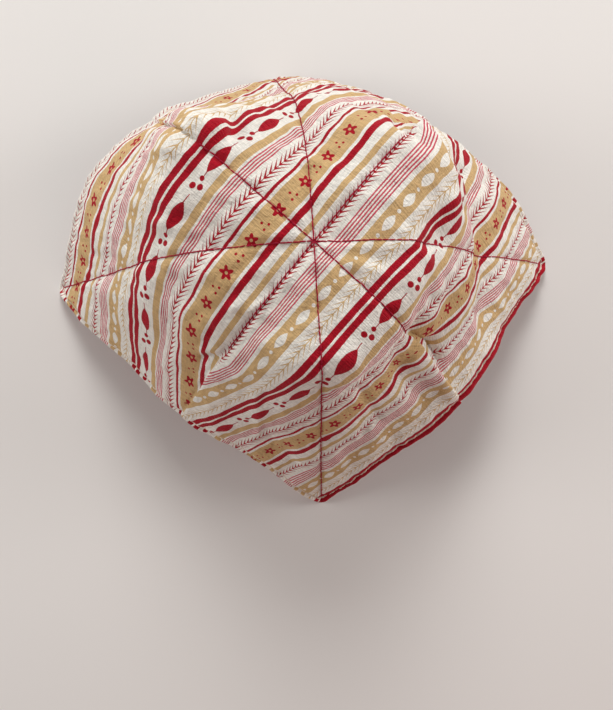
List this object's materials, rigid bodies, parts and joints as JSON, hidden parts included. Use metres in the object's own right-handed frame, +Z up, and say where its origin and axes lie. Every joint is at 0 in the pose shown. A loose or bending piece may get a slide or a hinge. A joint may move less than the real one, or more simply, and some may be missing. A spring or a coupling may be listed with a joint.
{
  "type": "bowl cosy",
  "caption": "Quilted cotton bowl cosy with a pin-dot lining, darted into a dome and standing on its corners; it wraps and insulates a hot bowl.",
  "frame": {"origin": "on the floor, under the middle of the outline", "axes": "+Z up through the dome; +X towards the right-hand corner and +Y towards the corner that is farthest from the picture's viewer"},
  "size_m": [0.2518, 0.2222, 0.1048],
  "materials": {
    "striped_cotton": "matt plain-weave cotton, off-white with crimson and tan printed stripes",
    "pin_dot_cotton": "matt plain-weave cotton, crimson with small off-white dots",
    "crimson_thread": "spun sewing thread, dark crimson",
    "cream_thread": "spun sewing thread, cream"
  },
  "bodies": {
    "root": {"outer_panel": "striped_cotton", "lining_panel": "pin_dot_cotton"}
  },
  "joints": []
}
